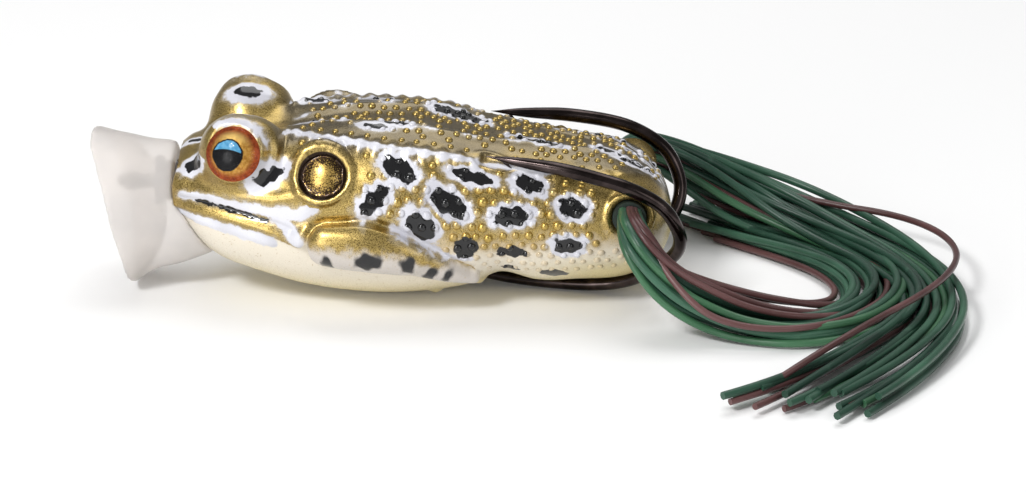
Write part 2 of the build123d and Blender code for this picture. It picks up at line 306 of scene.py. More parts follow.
def strandPaint(name, dark, light, pale):
    # glossy, slightly see-through rubber with streaks along its length
    maker = MaterialMaker(name)
    broad = maker.noise(70, 2.0)
    fine = maker.noise(420, 2.0)
    tint = maker.tint(broad, 0.35, 0.68, dark, light)
    tint = maker.mix(maker.span(fine, 0.60, 0.85, 0.0, 0.30), tint, pale)
    maker.set(Base_Color=tint, Roughness=maker.span(fine, 0.3, 0.7, 0.30, 0.40), IOR=1.42)
    maker.set(Subsurface_Weight=0.15, Subsurface_Scale=0.0005)
    maker.shader.inputs["Subsurface Radius"].default_value = (0.5, 1.0, 0.7)
    return maker.material


greenPaints = [
    strandPaint("darkGreenRubber", (0.013, 0.042, 0.027), (0.030, 0.088, 0.056),
                (0.09, 0.19, 0.13)),
    strandPaint("greenRubber", (0.024, 0.070, 0.044), (0.048, 0.130, 0.080),
                (0.13, 0.24, 0.16)),
    strandPaint("leafGreenRubber", (0.030, 0.094, 0.046), (0.058, 0.160, 0.080),
                (0.15, 0.29, 0.16)),
]
brownPaint = strandPaint("brownRubber", (0.070, 0.028, 0.027), (0.140, 0.066, 0.064),
                         (0.24, 0.14, 0.135))


def routeFrames(route):
    # across (level) and upright directions at each point of a route
    frames = []
    for index in range(len(route)):
        before = Vector(route[max(index - 1, 0)])
        after = Vector(route[min(index + 1, len(route) - 1)])
        along = (after - before).normalized()
        across = along.cross(Vector((0, 0, 1)))
        if across.length < 0.2:
            across = Vector((1, 0, 0))
        across.normalize()
        frames.append((across, across.cross(along).normalized()))
    return frames


def strandCurve(name, points, thick, rubber):
    # a round strand and its length, measured on the bare line
    data = newCurve(name, 8)
    addSpline(data, points, [1.0] * len(points))
    piece = addObject(name, data)
    line = bpy.data.meshes.new_from_object(piece)
    places = [corner.co for corner in line.vertices]
    length = sum((places[a] - places[b]).length for a, b in (edge.vertices for edge in line.edges))
    bpy.data.meshes.remove(line)
    data.bevel_depth = thick / 2
    data.bevel_resolution = 2
    data.use_fill_caps = True
    data.materials.append(rubber)
    return piece, length


def trimAt(points, nearest):
    # ends a strand where it comes nearer than a line across the front
    for index in range(4, len(points)):
        if points[index].y < nearest:
            part = (nearest - points[index - 1].y) / (points[index].y - points[index - 1].y)
            points[index] = points[index - 1].lerp(points[index], max(part, 0.15))
            return points[:index + 1]
    return points


def legStrands(word, route, widths, heights, slots, thick, rubbers, rng, cut=(0, 0), back=0.0):
    # strands that keep to their own place in the bundle and drift a little along the way
    made = []
    route = inMetres(route)
    frames = routeFrames(route)
    for number, (across, upright) in enumerate(slots):
        drift = rng.uniform(0, math.tau)
        pace = rng.uniform(0.35, 0.7)
        lift = rng.uniform(0, math.tau)
        points = []
        last = len(route) - rng.randint(*cut)
        for index in range(last):
            loose = min(1.0, index / strand["settle"])
            slip = strand["slip"] * math.sin(drift + pace * index) * loose
            rise = strand["rise"] * math.sin(lift + 0.8 * index) * loose
            place = Vector(route[index])
            place += frames[index][0] * (across + slip) * (widths[index] * 0.001)
            place += frames[index][1] * (upright + rise) * (heights[index] * 0.001)
            place.x += back * max(0.0, 1 - index / 5)
            place.z = max(place.z, thick / 2 + strand["floorGap"])
            points.append(place)
        end = points[-1] - points[-2]
        points[-1] = points[-2] + end * rng.uniform(*strand["endShare"])
        points = trimAt(points, rng.uniform(*strand["nearest"]))
        name = f"{word}_strand_{number + 1:02d}"
        made.append((*strandCurve(name, points, thick, rubbers[number % len(rubbers)]), thick))
    return made


def bundleSlots(columns, layers, rng):
    # places across and up in a bundle, shuffled so that neighbours differ
    slots = []
    for layer in range(layers):
        for column in range(columns):
            across = -1 + 2 * (column + 0.5) / columns + rng.uniform(-0.10, 0.10)
            upright = -1 + 2 * (layer + 0.5) / layers + rng.uniform(-0.12, 0.12)
            reach = math.hypot(across, upright * 0.7)
            slots.append((across / max(1.0, reach), upright))
    rng.shuffle(slots)
    return slots


def makeSkirt():
    rng = random.Random(strand["seed"])
    thick, brownThick = strand["thick"], strand["brownThick"]
    greens = [greenPaints[i] for i in (0, 1, 0, 2, 1, 0, 1)]
    right = (rightGreenRoute, bundle["rightWide"], bundle["rightHigh"])
    left = (leftGreenRoute, bundle["leftWide"], bundle["leftHigh"])
    leftBrown = (leftGreenRoute, (0.8, 1.0, *bundle["leftWide"][2:]), bundle["brownHigh"])
    alone = (bundle["single"], bundle["single"], [(0, 0)])
    skirt = []
    skirt += legStrands("right_green", *right, bundleSlots(7, 3, rng)[:19], thick, greens, rng, (0, 1))
    skirt += legStrands("right_brown", *right, [(0.75, -0.3), (0.55, -0.5), (0.20, -0.7), (-0.5, -0.6)],
                        brownThick, [brownPaint], rng)
    skirt += legStrands("right_brown_loop", brownLoop, *alone, brownThick, [brownPaint], rng)
    skirt += legStrands("left_green", *left, bundleSlots(6, 3, rng)[:17], thick, greens, rng,
                        (0, 2), strand["back"])
    skirt += legStrands("left_brown", *leftBrown, [(-1.10, 0.9), (-0.85, 1.3), (-0.35, 1.45), (0.10, 1.45)],
                        brownThick, [brownPaint], rng, (0, 2), strand["back"])
    skirt += legStrands("left_brown_outer", outerBrown, *alone, brownThick, [brownPaint], rng)
    skirt.sort(key=lambda item: -item[1])
    for order, (piece, length, across) in enumerate(skirt):
        word = "right" if piece.name.startswith("right") else "left"
        colour = "brown" if "brown" in piece.name else "green"
        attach(piece, "skirt")
        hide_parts(f"{word}_leg_{colour}", f"{word}_leg_green")
    return skirt


skirtStrands = makeSkirt()
report(f"{len(skirtStrands)} skirt strands")


# Hook

hookStyle = {
    "thick": 1.84,            # millimetres at the bends
    "shank": 1.5,             # millimetres along the shank
    "shares": (0.86, 0.92, 0.96),  # of the full thickness, from the shank to the bend
    "barbShares": (0.30, 0.20, 0.04),
    "ringAt": (-0.033825, 0, 0.0140164),
    "ringRadius": 0.00148,
    "ringWire": 0.00052,
    "ringHeight": 1.4,
}
# centre line of one wire in millimetres, from the line eye to its point
hookRoute = [
    (-32.4, 0.7, 14), (-17.8, 0.7, 14), (3.3, 0.75, 5.1), (11.5, 0.85, 2.3), (17.4, 1.1, 1.1),
    (27.3, 2.6, 0.9), (33, 4.6, 2.5), (38, 7.6, 6.8), (39.2, 9.7, 9.7), (38.7, 11, 12.4),
    (36.9, 11.7, 15.6), (33, 12.1, 18), (29.2, 11.9, 19.2), (23.6, 10.9, 20.3), (17.4, 9.7, 20.9),
]
# the last part of the wire tapers to the point: place and share of the full thickness
hookTip = [
    (20.5, 10.3, 20.6, 0.88), (17.4, 9.7, 20.9, 0.66), (15.5, 9.3, 21.1, 0.36), (14.4, 9.1, 21.2, 0.16),
    (13.5, 9, 21.3, 0.02),
]
hookBarb = [
    (16, 9.2, 20.7), (16.5, 9.2, 20.1), (17, 9.3, 19.8),
]


def hookLine():
    # points close together along both wires, by cutting corners again and again
    line = np.array(inMetres(hookRoute + hookTip[2:]))
    for _ in range(4):
        first, second = line[:-1], line[1:]
        cut = np.empty((2 * len(first), 3))
        cut[0::2] = first * 0.75 + second * 0.25
        cut[1::2] = first * 0.25 + second * 0.75
        line = np.concatenate((line[:1], cut, line[-1:]))
    return np.concatenate((line, line * (1, -1, 1)))


def hookMaterial():
    maker = MaterialMaker("blackNickel")
    wear = maker.noise(300, 3.0)
    grind = maker.noise(1500, 2.0, stretch=(0.10, 1.0, 1.0))
    tint = maker.tint(wear, 0.35, 0.7, (0.026, 0.020, 0.019), (0.068, 0.052, 0.050))
    maker.set(Base_Color=tint, Metallic=1.0, Roughness=maker.span(grind, 0.3, 0.7, 0.13, 0.22))
    return maker.material


def makeHook():
    data = newCurve("hook_wires", 10)
    data.bevel_depth = hookStyle["thick"] / 2000
    data.bevel_resolution = 5
    data.use_fill_caps = True
    shares = [hookStyle["shank"] / hookStyle["thick"]] * 4
    shares += [*hookStyle["shares"]] + [1.0] * (len(hookRoute) - 8)
    shares += [spot[3] for spot in hookTip]
    for side in (-1, 1):
        addSpline(data, inMetres(hookRoute[:-1] + hookTip, side), shares)
        addSpline(data, inMetres(hookBarb, side), hookStyle["barbShares"])
    curve = addObject("hook_wires", data)
    deselectAll()
    bpy.ops.mesh.primitive_torus_add(
        major_radius=hookStyle["ringRadius"], minor_radius=hookStyle["ringWire"],
        major_segments=48, minor_segments=20, location=hookStyle["ringAt"])
    ring = bpy.context.object
    ring.scale = (1, 1, hookStyle["ringHeight"])
    makeActive(curve)
    bpy.ops.object.convert(target="MESH")
    piece = bpy.context.object
    ring.select_set(True)
    bpy.ops.object.join()
    piece.name = "double_hook_wires"
    joinLoose(piece, outward=True)
    piece.data.materials.append(hookMaterial())
    piece.data.shade_smooth()
    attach(piece, "hook")
    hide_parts("double_hook")


makeHook()
report("hook")


# Painted body

bodyStyle = {
    "voxel": 0.00030,
    "creaseRounds": 140,
    "scallopPitch": 2.15,
    "wartGap": 1.24,      # least distance between two warts
    "cavityShare": 0.20,  # of the faces inside that are kept
    "flankRing": 0.78,    # width of the white rings
    "headRing": 0.95,
    "backRing": 0.9,
    "seed": 7,
}
# heights of the relief in millimetres
relief = {
    "ridge": 0.55, "valley": 0.20, "snout": 0.8, "innerRidge": 0.28, "arm": 1.45, "armGroove": 0.50,
    "nub": 0.50, "slit": 0.38, "lip": 0.32, "lowerBand": 0.16, "cheek": 0.34, "holeRim": 0.35, "lid": 0.55,
}
roundAt = 12.0      # height of the line that the body's sides are measured round, in millimetres
roundScale = 12.5   # millimetres for each radian round that line
outOfReach = 9.0    # millimetres, further than any edge of the paint
earPlace = {side: (-7.5, side * 12.2, 19.4) for side in (-1, 1)}     # middle of each ear disc
bumpPlace = {side: (-18.925, side * 7.2, 20.74) for side in (-1, 1)}  # middle of each eye bump
topPatch = {side: (-18.6, side * 4.5, 25.3) for side in (-1, 1)}     # spot on top of each eye bump

# The places below are in millimetres along the body and round from the middle of the back.
# black spots on the flanks: place, half length, half width, tilt in degrees
flankSpots = [
    (2.5, 12.0, 2.2, 1.15, 25), (-0.6, 15.5, 2.2, 1.05, -40), (9.0, 15.7, 2.6, 1.2, 30),
    (5.3, 18.4, 2.1, 1.35, 35), (11.9, 12.5, 2.6, 0.75, 10), (11.2, 21.2, 1.6, 1.35, -10),
    (17.0, 17.3, 2.4, 1.1, -3), (17.3, 22.2, 2.0, 0.85, 3), (19.3, 13.1, 1.8, 1.1, 18),
    (25.0, 16.2, 1.8, 1.2, 10), (24.4, 21.4, 1.7, 1.1, 5), (16.9, 25.8, 1.2, 0.6, 15),
    (22.6, 26.6, 1.9, 0.95, 8),
]
bareSpots = [12, 13, 8, 6]  # counted from one, without their own white ring
armSpots = [
    (-6.7, 22.4, 1.35, 0.7, 75), (-1.4, 21.7, 1.75, 0.95, 0), (3.7, 22.3, 1.0, 0.95, 0),
    (6.5, 24.1, 1.15, 0.68, -45), (8.8, 24.5, 0.90, 0.52, -45),
]
headSpots = [(-24.5, 9.6, 1.55, 1.15, -30), (-14.6, 12.7, 2.1, 0.85, -28)]
# spots on the back, where the second number is positive on the frog's left
backSpots = [
    (-9.6, -5.9, 1.8, 0.6, 4), (-1.3, -7.0, 1.7, 0.5, 0), (-9.8, 1.6, 1.7, 0.6, 4),
    (-1.1, 5.0, 1.6, 0.5, 8), (1.8, 3.9, 1.7, 0.7, 12), (9.7, -2.1, 3.8, 1.5, 28),
    (20.1, 3.8, 3.1, 0.7, 6), (19.0, -8.4, 2.6, 0.7, 6), (29.0, 2.6, 1.3, 0.8, 18),
    (27.0, -7.0, 1.6, 0.7, 12), (32.5, 5.5, 1.5, 0.6, 20), (33.0, -1.5, 1.4, 0.6, 20),
    (-25.2, 1.6, 1.0, 0.75, -4),
]
backRidge = [(-13.0, 6.0), (-10.0, 7.2), (-7.0, 8.0), (0.0, 9.5), (6.0, 10.1), (15.0, 10.6), (20.0, 11.3),
             (26.0, 11.6), (31.0, 10.6), (35.0, 8.2)]
tailStreaks = [
    [(28.5, -7.0), (31.5, -6.4), (34.0, -5.0), (36.2, -4.4)],
    [(30.8, 3.5), (33.2, 4.4), (35.4, 5.4)],
    [(33.2, -0.9), (35.2, 0.3), (36.8, 1.6)],
]
innerRidge = [(-12.0, 1.6), (-5.0, 3.2), (2.0, 4.4), (8.0, 5.4), (14.0, 5.6), (20.0, 4.6), (28.0, 3.2)]
# the arm's middle line with its half width
armSpine = [(-6.9, 20.9, 2.6), (-2.0, 20.9, 2.95), (1.5, 21.6, 2.6), (5.3, 23.0, 2.2), (8.9, 24.7, 1.6),
            (12.0, 26.0, 0.8)]
armEdge = [(1.8, 18.7), (5.3, 20.2), (8.9, 22.4), (11.6, 22.9)]
cheekRoll = [(-26.5, 14.2), (-23.5, 14.7), (-19.0, 15.4), (-14.0, 15.5), (-11.0, 15.1)]
mouthSlit = [(-26.6, 15.6), (-23.7, 16.3), (-19.0, 17.4), (-14.6, 18.4), (-11.5, 19.4)]
slitPaint = [(-24.3, 16.1), (-19.0, 17.4), (-15.0, 18.4)]
upperBand = [(-26.2, 15.2), (-23.7, 15.6), (-19.0, 16.6), (-14.4, 17.2), (-10.6, 17.4), (-8.8, 16.4)]
mouthCorner = [(-13.6, 18.0), (-11.8, 19.3), (-10.7, 20.8)]
lowerLip = [(-27.6, 17.4), (-23.5, 17.9), (-19.0, 18.8), (-14.5, 19.9), (-10.8, 21.2)]
lowerBand = [(-27.2, 19.3), (-20.4, 20.2), (-14.2, 21.4)]
# height of the shoulder along the body
shoulderRise = [(-17.5, 0.0), (-14.5, 0.8), (-12.2, 1.25), (-10.0, 1.15), (-7.5, 0.85), (-2.0, 0.75),
                (5.0, 0.40), (11.0, 0.0)]


def alongLine(x, s, line):
    # distance to a broken line, how far along it, and the value that its third numbers give
    best = np.full(x.shape, 1e9)
    run = np.zeros(x.shape)
    third = np.zeros(x.shape)
    done = 0.0
    for a, b in zip(line, line[1:]):
        dx, ds = b[0] - a[0], b[1] - a[1]
        long = math.hypot(dx, ds)
        t = np.clip(((x - a[0]) * dx + (s - a[1]) * ds) / long ** 2, 0, 1)
        gap = np.hypot(x - a[0] - t * dx, s - a[1] - t * ds)
        nearer = gap < best
        best = np.where(nearer, gap, best)
        run = np.where(nearer, done + t * long, run)
        if len(a) > 2:
            third = np.where(nearer, a[2] + t * (b[2] - a[2]), third)
        done += long
    return best, run, third


def gapTo(x, s, line):
    return alongLine(x, s, line)[0]


def valueAt(x, line, column=1):
    # a line's own number at a place along the body
    return np.interp(x, [p[0] for p in line], [p[column] for p in line])


def scallops(run):
    # 1 at the middle of each bead of the ridge, 0 between two
    return 0.5 + 0.5 * np.cos(run / bodyStyle["scallopPitch"] * math.tau)


def spotGap(x, s, spot):
    # about how far outside a rounded spot a place is, in millimetres
    cx, cs, long, short, tilt = spot
    c, w = math.cos(math.radians(tilt)), math.sin(math.radians(tilt))
    u = (x - cx) * c + (s - cs) * w
    v = -(x - cx) * w + (s - cs) * c
    u = u + 0.16 * np.sin(2.9 * s + 1.7 * x + cx) * min(1, short)
    v = v + 0.20 * np.sin(3.3 * x - 1.9 * s + cs) * min(1, short)
    reach = (np.abs(u / long) ** 2.4 + np.abs(v / short) ** 2.4) ** (1 / 2.4)
    return (reach - 1) * (short + (long - short) * np.abs(u) / (np.abs(u) + np.abs(v) + 1e-6) * 0.6)


def eyeAxes(side):
    # centre, outward, upward and rearward directions of an eye, from its CAD disc
    low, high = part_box("left_eye_disc" if side < 0 else "right_eye_disc")
    outward = Vector((-0.16, side * 0.91, 0.37)).normalized()
    upward = (Vector((0, 0, 1)) - outward * outward.z).normalized()
    rearward = upward.cross(outward) * (1 if side > 0 else -1)
    if rearward.x < 0:
        rearward = -rearward
    centre = (low + high) / 2 + outward * 0.001 + rearward * 0.00045 - upward * 0.00035
    return centre, outward, upward, rearward


def roundEye(mm, side):
    # points seen from an eye's centre: offset, distance upward and rearward, in millimetres
    centre, _, upward, rearward = eyeAxes(side)
    rel = mm - np.array(centre) * 1000
    return rel, rel @ np.array(upward), rel @ np.array(rearward)


def smoothWhere(mesh, points, weight, rounds):
    # draws each point toward its neighbours, as far as its weight allows
    edges = np.empty(len(mesh.edges) * 2, dtype=np.int64)
    mesh.edges.foreach_get("vertices", edges)
    a, b = edges[0::2], edges[1::2]
    count = np.bincount(np.concatenate((a, b)), minlength=len(points)).astype(float)
    for _ in range(rounds):
        mean = np.empty_like(points)
        for axis in range(3):
            total = np.bincount(a, weights=points[b, axis], minlength=len(points))
            total += np.bincount(b, weights=points[a, axis], minlength=len(points))
            mean[:, axis] = total / count
        points += (mean - points) * (0.5 * weight)[:, None]
    return points


def fade(value, low, high):
    t = np.clip((value - low) / (high - low), 0, 1)
    return t * t * (3 - 2 * t)


def wartPlaces(rng):
    # where the warts stand: along, round from the back, size; none on the head, ears or arms
    places = []
    for side in (-1, 1):
        for step in range(21):
            x = -10.4 + step * bodyStyle["scallopPitch"]
            ridge = valueAt(x, backRidge)
            places.append((x, side * (ridge + 1.25), 0.52))
            x += rng.uniform(-0.15, 0.15)
            places.append((x, side * (ridge - 1.95), 0.44))
    for row in range(-18, 19):
        for step in range(30):
            s = row * 1.42 + rng.uniform(-0.20, 0.20)
            x = -10.0 + (step + 0.5 * (row % 2)) * 1.62 + rng.uniform(-0.22, 0.22)
            away = abs(s)
            ridge = valueAt(x, backRidge)
            if x < -2.0 and away > 9.6 or away > 18.6 and x < 8.5 or x > 36:
                continue
            if abs(away - ridge) < 1.5 or away < ridge and rng.random() < 0.22:
                continue
            low = max(0.0, (away - 18) / 7)
            size = rng.uniform(0.55, 0.70) * (0.78 if away < ridge else 1.0) * (1 - 0.35 * low)
            if all(math.hypot(x - px, s - ps) > bodyStyle["wartGap"] for px, ps, _ in places):
                places.append((x, s, size))
    return places


def makeWarts(body):
    # beads pressed into the skin, each a flattened ball
    rng = random.Random(bodyStyle["seed"])
    tree = BVHTree.FromPolygons([v.co * 1000 for v in body.data.vertices],
                                [tuple(f.vertices) for f in body.data.polygons])
    wires = kdTree(hookLine() * 1000)
    deselectAll()
    bpy.ops.mesh.primitive_ico_sphere_add(subdivisions=3, radius=1.0, location=(0, 0, 0))
    ball = bpy.context.object
    shape = readPoints(ball.data)
    faces = np.array([tuple(f.vertices) for f in ball.data.polygons])
    bpy.data.objects.remove(ball)
    points, triangles = [], []
    for x, s, size in wartPlaces(rng):
        angle = s / roundScale
        outward = Vector((0, -math.sin(angle), math.cos(angle)))
        centre = Vector((x, 0, roundAt))
        hit, normal, _, _ = tree.ray_cast(centre + outward * 30, -outward)
        if hit is None or wires.find(hit)[2] < size + 1.3:
            continue
        if abs(hit.y) > 4 and math.hypot(hit.x - legHole.x * 1000, hit.z - legHole.z * 1000) < 4.6:
            continue
        if (hit - Vector(earPlace[-1 if hit.y < 0 else 1])).length < 5.0:
            continue
        arm, _, girth = alongLine(np.array([x]), np.array([abs(s)]), armSpine)
        if arm[0] < girth[0] + 0.6:
            continue
        turn = np.array(normal.to_track_quat("Z", "Y").to_matrix())
        low = shape * np.array((size, size, size * 0.80))
        triangles.append(faces + len(points) * len(shape))
        points.append(low @ turn.T + np.array(hit - normal * size * 0.12))
    mesh = bpy.data.meshes.new("skin_warts")
    mesh.from_pydata(np.concatenate(points) * 0.001, [], np.concatenate(triangles).tolist())
    piece = addObject("skin_warts", mesh)
    bodyPaintFields(piece, np.ones(len(mesh.vertices)))
    mesh.materials.append(body.data.materials[0])
    mesh.shade_smooth()
    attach(piece, "lure_body")
    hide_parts("body_shell")
    report(f"{len(points)} warts")


def plugSocket(body, side):
    # fills the seat under an eye, so that the eye can sit a little off its middle
    low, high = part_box("left_eye_disc" if side < 0 else "right_eye_disc")
    outward = eyeAxes(side)[1]
    deselectAll()
    bpy.ops.mesh.primitive_cylinder_add(vertices=64, radius=0.0042, depth=0.0020,
                                        location=(low + high) / 2 - outward * 0.0002)
    plug = bpy.context.object
    plug.rotation_euler = outward.to_track_quat("Z", "Y").to_euler()
    body.select_set(True)
    bpy.context.view_layer.objects.active = body
    bpy.ops.object.join()


def shapeBody():
    piece = copyNode("body_shell", "frog_body")
    for side in (-1, 1):
        plugSocket(piece, side)
    applyModifier(piece, "REMESH", mode="VOXEL", voxel_size=bodyStyle["voxel"])
    mesh = piece.data
    points = readPoints(mesh)
    mm = points * 1000
    # outer skin only: the cavity stays as it is
    outward = mm - np.stack((mm[:, 0], np.zeros(len(mm)), np.full(len(mm), 11.5)), 1)
    outer = (outward * readPoints(mesh, "normal")).sum(1) > -1.0
    crease = np.zeros(len(mm))
    eyeGap = np.full(len(mm), 1e9)
    for side in (-1, 1):
        gap = np.linalg.norm(mm - bumpPlace[side], axis=1)
        crease = np.maximum(crease, 1 - fade(np.abs(gap - 6.2), 1.0, 2.9))
        centre, eyeOutward, _, _ = eyeAxes(side)
        rel = mm - np.array(centre) * 1000
        flat = rel - np.outer(rel @ np.array(eyeOutward), np.array(eyeOutward))
        near = np.linalg.norm(rel, axis=1) < 7.5
        eyeGap = np.where(near, np.minimum(eyeGap, np.linalg.norm(flat, axis=1)), eyeGap)
    crease *= fade(eyeGap, 3.7, 4.4)
    points = smoothWhere(mesh, points, crease, bodyStyle["creaseRounds"])
    points = smoothWhere(mesh, points, 0.6 * fade(eyeGap, 3.7, 4.2), 3)
    writePoints(mesh, points)
    return piece, outer


def bodyFields(mm):
    # the measures that both the relief and the paint are made from
    s = np.arctan2(-mm[:, 1], mm[:, 2] - roundAt) * roundScale
    return mm[:, 0], s, np.abs(s)


def bodyRelief(piece, outer):
    mesh = piece.data
    points = readPoints(mesh)
    normals = readPoints(mesh, "normal")
    mm = points * 1000
    x, _, away = bodyFields(mm)
    rise = np.zeros(len(mm))

    ridge, run, _ = alongLine(x, away, backRidge)
    beads = scallops(run)
    ends = fade(x, -14.5, -11.5) * (1 - 0.7 * fade(x, 22.0, 27.0)) * (1 - fade(x, 34.0, 36.0))
    half = 0.70 * (0.85 + 0.45 * beads)
    rise += relief["ridge"] * (0.75 + 0.6 * beads) * np.exp(-(ridge / half) ** 2) * ends
    valley = np.exp(-((away - 7.6) / 1.8) ** 2) * fade(x, -9, -3) * (1 - fade(x, 24, 32))
    rise -= relief["valley"] * valley
    rise += valueAt(x, shoulderRise) * np.exp(-((away - 6.8) / 4.4) ** 4)
    rise -= relief["snout"] * (1 - fade(x, -27.8, -25.6)) * fade(mm[:, 2], 15.5, 19.0)
    inner = np.exp(-(gapTo(x, away, innerRidge) / 0.8) ** 2)
    rise += relief["innerRidge"] * inner * fade(x, -13, -9) * (1 - fade(x, 26, 30))

    arm, _, girth = alongLine(x, away, armSpine)
    dome = np.sqrt(np.clip(1 - (arm / np.maximum(girth, 0.1)) ** 2, 0, 1))
    groove = np.exp(-((arm - girth - 0.10) / 0.45) ** 2) * (girth > 0.9)
    rise += relief["arm"] * dome - relief["armGroove"] * groove
    for nubAt, nubRound in ((6.8, 33.4), (12.6, 32.6)):
        rise += relief["nub"] * np.exp(-(np.hypot(x - nubAt, away - nubRound) / 0.80) ** 2)

    rise -= relief["slit"] * np.exp(-(gapTo(x, away, mouthSlit) / 0.32) ** 2)
    rise += relief["lip"] * np.exp(-(gapTo(x, away, lowerLip) / 0.55) ** 2)
    rise += relief["lowerBand"] * np.exp(-(gapTo(x, away, lowerBand) / 0.6) ** 4)

    wireRoom = hookRoom(mm)
    rise *= fade(wireRoom, 0.40, 1.2)
    holeGap = np.hypot(x - legHole.x * 1000, mm[:, 2] - legHole.z * 1000)
    rise *= np.where(np.abs(mm[:, 1]) > 5, fade(holeGap, 3.4, 4.4), 1)
    rise *= eyeRoom(mm)
    rise += browRise(mm)
    roll = np.exp(-(gapTo(x, away, cheekRoll) / 0.85) ** 2)
    rise += relief["cheek"] * roll * eyeRoom(mm, 3.9, 4.5)
    rim = np.exp(-((holeGap - 2.95) / 0.42) ** 2) * (np.abs(mm[:, 1]) > 7)
    rise += relief["holeRim"] * rim * fade(wireRoom, 0.3, 0.8)
    points += normals * (rise * outer)[:, None] * 0.001
    writePoints(mesh, points)


def hookRoom(mm):
    # distance from the surface of the hook's wires
    tree = kdTree(hookLine() * 1000)
    return np.array([tree.find(p)[2] for p in mm]) - hookStyle["thick"] / 2


def kdTree(places):
    tree = KDTree(len(places))
    for index, place in enumerate(places):
        tree.insert(place, index)
    tree.balance()
    return tree


def browRise(mm):
    # raised lid over each eye
    lid = np.zeros(len(mm))
    for side in (-1, 1):
        rel, up, rear = roundEye(mm, side)
        reach = np.hypot(up, rear)
        angle = np.degrees(np.arctan2(up, rear))
        over = fade(angle, -40, 40) * (1 - fade(angle, 115, 175))
        near = np.linalg.norm(rel, axis=1) < 7.5
        arc = np.exp(-((reach - 4.3) / 0.62) ** 2) * fade(reach, 3.5, 3.75)
        lid += relief["lid"] * arc * over * near
    return lid


def eyeRoom(mm, low=4.4, high=5.4):
    # 0 under the eyes, 1 away from them
    room = np.ones(len(mm))
    for side in (-1, 1):
        room = np.minimum(room, fade(np.linalg.norm(roundEye(mm, side)[0], axis=1), low, high))
    return room


def bodyPaintFields(piece, warts):
    # how far each vertex is from every edge of the paint, stored for the material
    mesh = piece.data
    mm = readPoints(mesh) * 1000
    x, s, away = bodyFields(mm)
    black, white, soft, ear, brow = (np.full(len(mm), outOfReach) for _ in range(5))
    for number, spot in enumerate(flankSpots, 1):
        gap = spotGap(x, away, spot)
        black = np.minimum(black, gap)
        if number not in bareSpots:
            white = np.minimum(white, gap - bodyStyle["flankRing"])
    for spot in armSpots:
        soft = np.minimum(soft, spotGap(x, away, spot))
    for spot in headSpots:
        gap = spotGap(x, away, spot) + 4 * fade(mm[:, 2], 20.7, 21.3) * (x < -20)
        black = np.minimum(black, gap)
        white = np.minimum(white, gap - bodyStyle["headRing"])
    for spot in backSpots:
        gap = spotGap(x, s, spot)
        black = np.minimum(black, gap)
        white = np.minimum(white, gap - bodyStyle["backRing"])
    ridge, run, _ = alongLine(x, away, backRidge)
    half = np.where(away > valueAt(x, backRidge), 0.12 + 0.50 * scallops(run), 0.50)
    ridgeEnds = (x < -13.2) * outOfReach + fade(x, 21.5, 24.5) * 3
    white = np.minimum(white, ridge - half + ridgeEnds)
    for streak in tailStreaks:
        gap = gapTo(x, s + 0.30 * np.sin(x * 4.2), streak)
        black = np.minimum(black, gap - 0.24)
        white = np.minimum(white, gap - 1.0)
    white = np.minimum(white, gapTo(x, away, innerRidge) - 0.30 + 0.9 * np.sin(x * 0.55) ** 2)
    for line, half in ((upperBand, 0.75), (lowerBand, 0.86), (mouthCorner, 0.85), (armEdge, 0.45)):
        white = np.minimum(white, gapTo(x, away, line) - half)
    black = np.minimum(black, gapTo(x, away, slitPaint) - 0.30 - 0.12 * np.sin(x * 2.1))

    for side in (-1, 1):
        rel, up, rear = roundEye(mm, side)
        angle = np.degrees(np.arctan2(up, rear))
        arc = np.abs(np.hypot(up, rear) - 4.35) - 0.50 + 0.35 * fade(np.abs(angle - 80), 25, 75)
        arc += outOfReach * (np.abs(angle - 72) > 62)
        brow = np.minimum(brow, np.where(np.linalg.norm(rel, axis=1) < 8, arc, outOfReach))
        rel = mm - topPatch[side]
        inward = np.array((0.0, -side * 0.45, 0.88)) / np.linalg.norm((0.45, 0.88))
        flat = rel - np.outer(rel @ inward, inward)
        patchGap = np.hypot(flat[:, 0] / 1.75, np.linalg.norm(flat[:, 1:], axis=1) / 0.95) - 1
        nearPatch = np.linalg.norm(rel, axis=1) < 5
        black = np.minimum(black, np.where(nearPatch, patchGap * 1.1, outOfReach))
        white = np.minimum(white, np.where(nearPatch, patchGap * 1.1 - 1.0, outOfReach))
        ear = np.minimum(ear, np.linalg.norm(mm - earPlace[side], axis=1))
    white = np.minimum(white, brow)
    white = np.where(ear < 4.2, outOfReach, white)
    black = np.where(ear < 4.2, outOfReach, black)

    arm, _, girth = alongLine(x, away, armSpine)
    middle, width = valueAt(x, armSpine, 1), valueAt(x, armSpine, 2)
    lowArm = (away - middle) / width + 0.30 * fade(x, 0.0, 5.0) + 0.9 * fade(x, 6.5, 10.5)
    belly = fade(away, 17.0, 25.0) * (x >= -9)
    chin = fade(away, 19.6, 21.0) * (x < -9)
    cream = np.where(arm < girth + 0.3, fade(lowArm, -0.60, 0.45), np.maximum(belly, chin))
    cream *= fade(gapTo(x, away, lowerLip), 0.35, 0.6)
    tone = np.maximum(fade(away, 6.0, 13.0), fade(-x, 10.0, 16.0) * 0.85)
    tail = fade(x, 14.0, 30.0) * fade(away, 22.0, 28.0)
    tail = np.maximum(tail, 0.8 * fade(away, 24.5, 32.0))
    onArm = 1 - fade(arm - girth, -0.3, 0.3)
    fields = {"spotGap": black, "whiteGap": white, "softGap": soft, "earGap": ear, "cream": cream,
              "tone": tone, "tail": tail, "arm": onArm, "wart": warts}
    for name, values in fields.items():
        storeValue(mesh, name, values)


